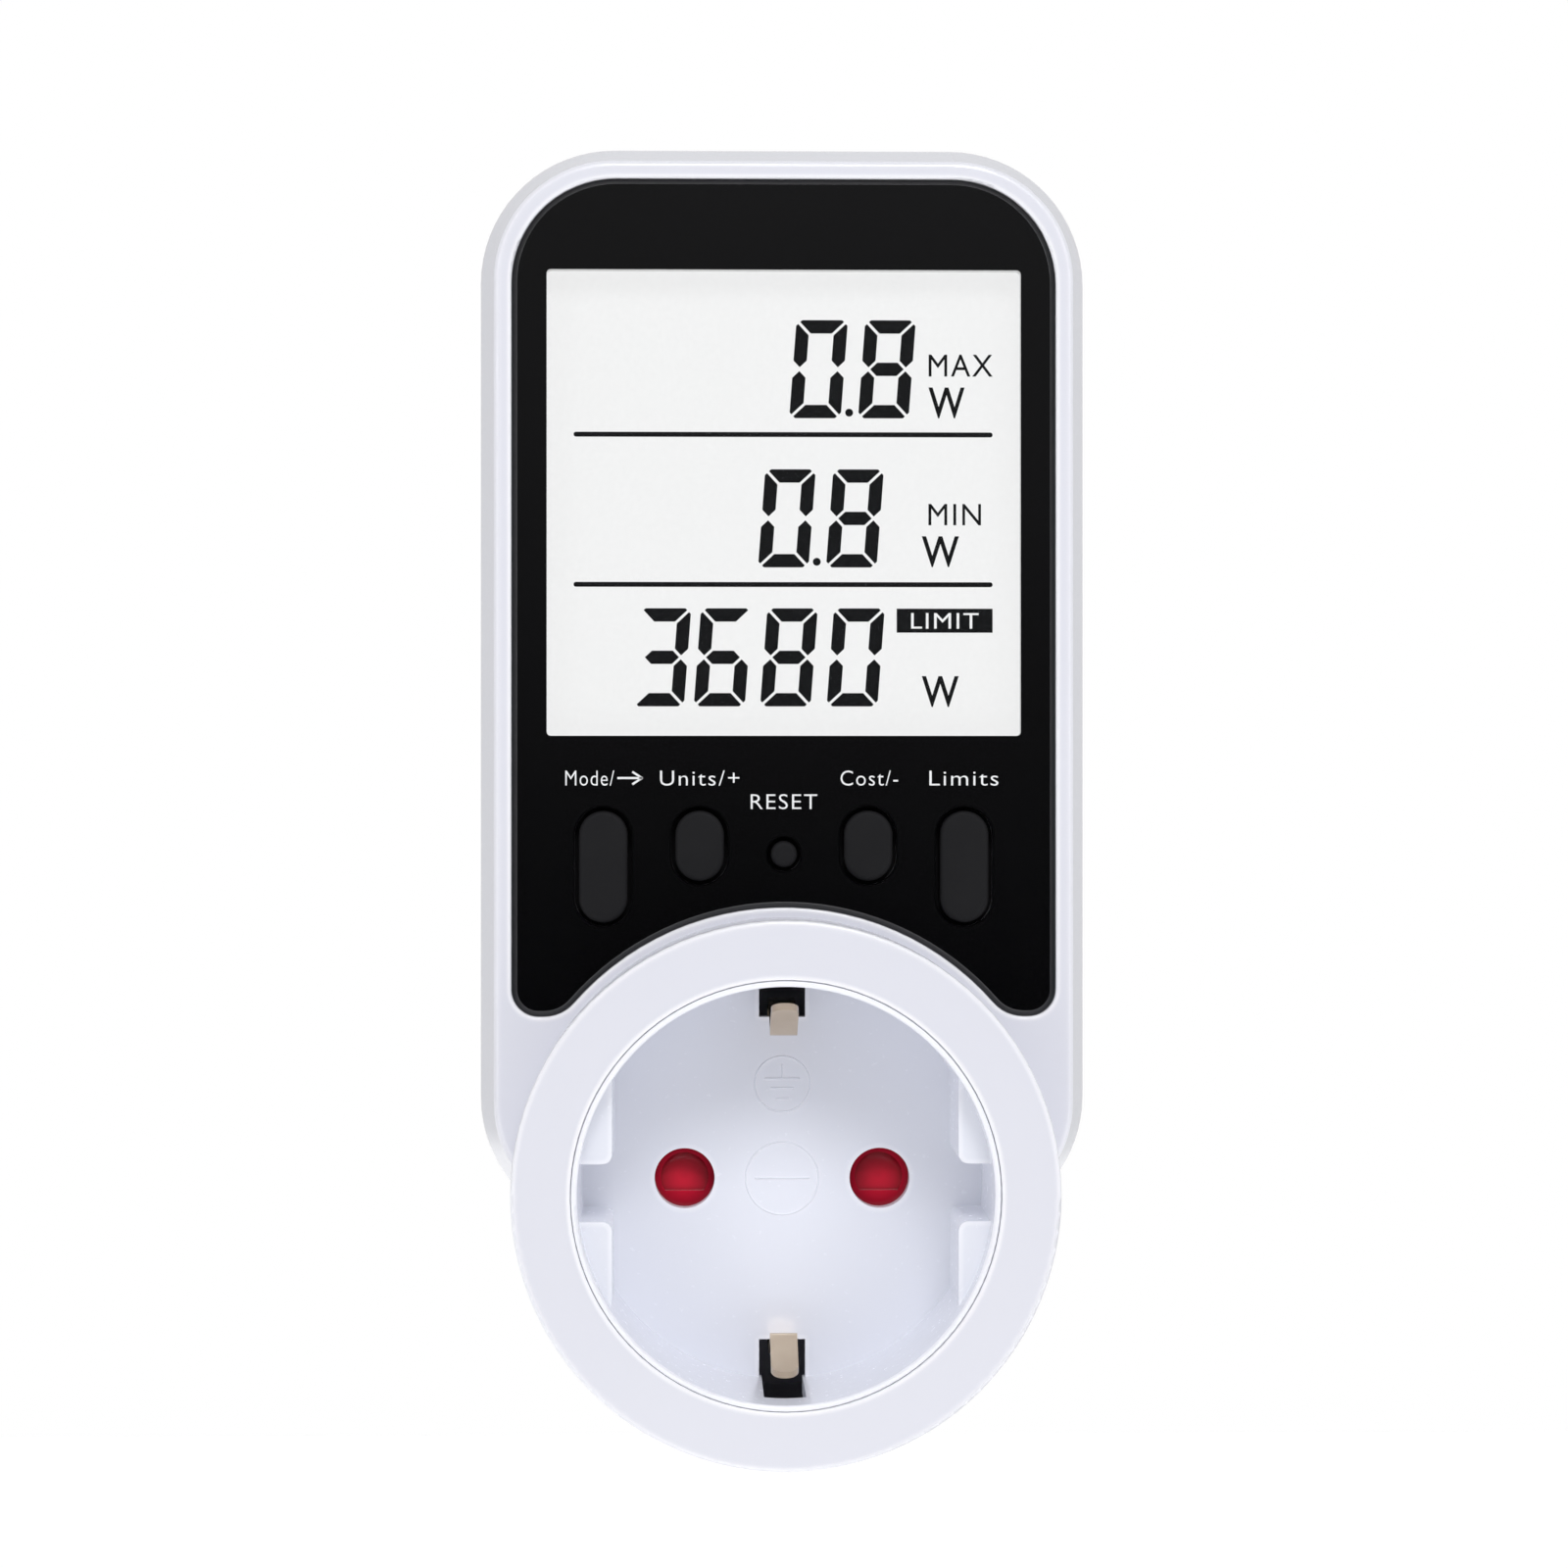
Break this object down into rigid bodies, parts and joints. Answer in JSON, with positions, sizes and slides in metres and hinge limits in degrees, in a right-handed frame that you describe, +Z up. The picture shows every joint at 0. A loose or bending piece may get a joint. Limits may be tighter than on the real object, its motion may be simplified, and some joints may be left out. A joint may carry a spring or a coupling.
{
  "type": "plug-in power meter",
  "caption": "Plug-in electricity meter with an earthed plug behind, an earthed outlet in a round collar in front, and a display with press keys above it.",
  "frame": {"origin": "the shared axis of plug and outlet, on the flat back of the housing, where it meets the wall socket's rim", "axes": "+Z up towards the display's top, the front with its display and outlet faces -Y, the plug's pins point along +Y, +X to the right seen from the front"},
  "size_m": [0.0586, 0.08, 0.1257],
  "materials": {
    "shell_white": "satin moulded, faint lilac white",
    "cup_white": "satin moulded, faint lilac white",
    "panel_black": "polished black",
    "window_clear": "polished clear",
    "key_rubber": "matte dark grey",
    "plunger_black": "matte",
    "switch_grey": "matte",
    "lcd_glass": "pale reflective display",
    "guide_white": "polished",
    "holder_white": "matte",
    "elastomer": "matte",
    "led_white": "gloss",
    "board_green": "solder mask",
    "chip_black": "matte",
    "battery_sleeve": "shrink sleeve",
    "capacitor_yellow": "moulded box",
    "capacitor_black": "shrink sleeve",
    "varistor_blue": "dipped coating",
    "resistor_green": "cement coating",
    "ribbon_grey": "flexible lead",
    "lead_brown": "flexible lead",
    "lead_blue": "flexible lead",
    "shutter_red": "gloss moulded",
    "spring_steel": "drawn wire",
    "carrier_black": "matte moulded",
    "contact_brass": "stamped",
    "shunt_alloy": "rolled",
    "nickel_plate": "bright nickel",
    "pin_nickel": "bright nickel",
    "screw_steel": "zinc plated"
  },
  "bodies": {
    "housing": {"backlight_leds": "led_white", "backup_battery": "battery_sleeve", "board_screws": "screw_steel", "carrier_screws": "screw_steel", "case_screws": "screw_steel", "connector_strip": "elastomer", "contact_carrier": "carrier_black", "control_board": "board_green", "control_chip": "chip_black", "cover_screws": "screw_steel", "display_panel": "panel_black", "display_window": "window_clear", "earth_link": "contact_brass", "film_capacitor": "capacitor_yellow", "front_shell": "shell_white", "fusible_resistor": "resistor_green", "key_switches": "switch_grey", "lcd_glass": "lcd_glass", "lcd_holder": "holder_white", "light_guide": "guide_white", "live_contact": "contact_brass", "live_lead": "lead_brown", "live_pin": "pin_nickel", "metering_chip": "chip_black", "neutral_contact": "contact_brass", "neutral_lead": "lead_blue", "neutral_pin": "pin_nickel", "outlet_earth_strap": "nickel_plate", "pin_clamp": "carrier_black", "plug_earth_strap": "nickel_plate", "plug_screws": "screw_steel", "power_board": "board_green", "power_board_screws": "screw_steel", "rear_shell": "shell_white", "ribbon_cable": "ribbon_grey", "ribbon_sockets": "holder_white", "shunt": "shunt_alloy", "shutter_cover": "carrier_black", "shutter_spring": "spring_steel", "socket_cup": "cup_white", "storage_capacitor": "capacitor_black", "varistor": "varistor_blue"},
    "mode_key": {"mode_key": "key_rubber", "mode_plunger": "plunger_black"},
    "units_key": {"units_key": "key_rubber", "units_plunger": "plunger_black"},
    "reset_key": {"reset_key": "key_rubber", "reset_plunger": "plunger_black"},
    "cost_key": {"cost_key": "key_rubber", "cost_plunger": "plunger_black"},
    "limits_key": {"limits_key": "key_rubber", "limits_plunger": "plunger_black"},
    "shutter": {"shutter": "shutter_red"}
  },
  "joints": [
    {"name": "mode_press", "type": "slide", "parent": "housing", "child": "mode_key", "axis": [0, 1, 0], "range_m": [0, 0.0005], "stiffness_N_per_m": 400, "springref_m": -0.001},
    {"name": "units_press", "type": "slide", "parent": "housing", "child": "units_key", "axis": [0, 1, 0], "range_m": [0, 0.0005], "stiffness_N_per_m": 400, "springref_m": -0.001},
    {"name": "reset_press", "type": "slide", "parent": "housing", "child": "reset_key", "axis": [0, 1, 0], "range_m": [0, 0.0005], "stiffness_N_per_m": 400, "springref_m": -0.001},
    {"name": "cost_press", "type": "slide", "parent": "housing", "child": "cost_key", "axis": [0, 1, 0], "range_m": [0, 0.0005], "stiffness_N_per_m": 400, "springref_m": -0.001},
    {"name": "limits_press", "type": "slide", "parent": "housing", "child": "limits_key", "axis": [0, 1, 0], "range_m": [0, 0.0005], "stiffness_N_per_m": 400, "springref_m": -0.001},
    {"name": "shutter_slide", "type": "slide", "parent": "housing", "child": "shutter", "axis": [0, 0, -1], "range_m": [0, 0.0062], "stiffness_N_per_m": 60, "springref_m": -0.004, "deforming": ["shutter_spring"]}
  ]
}
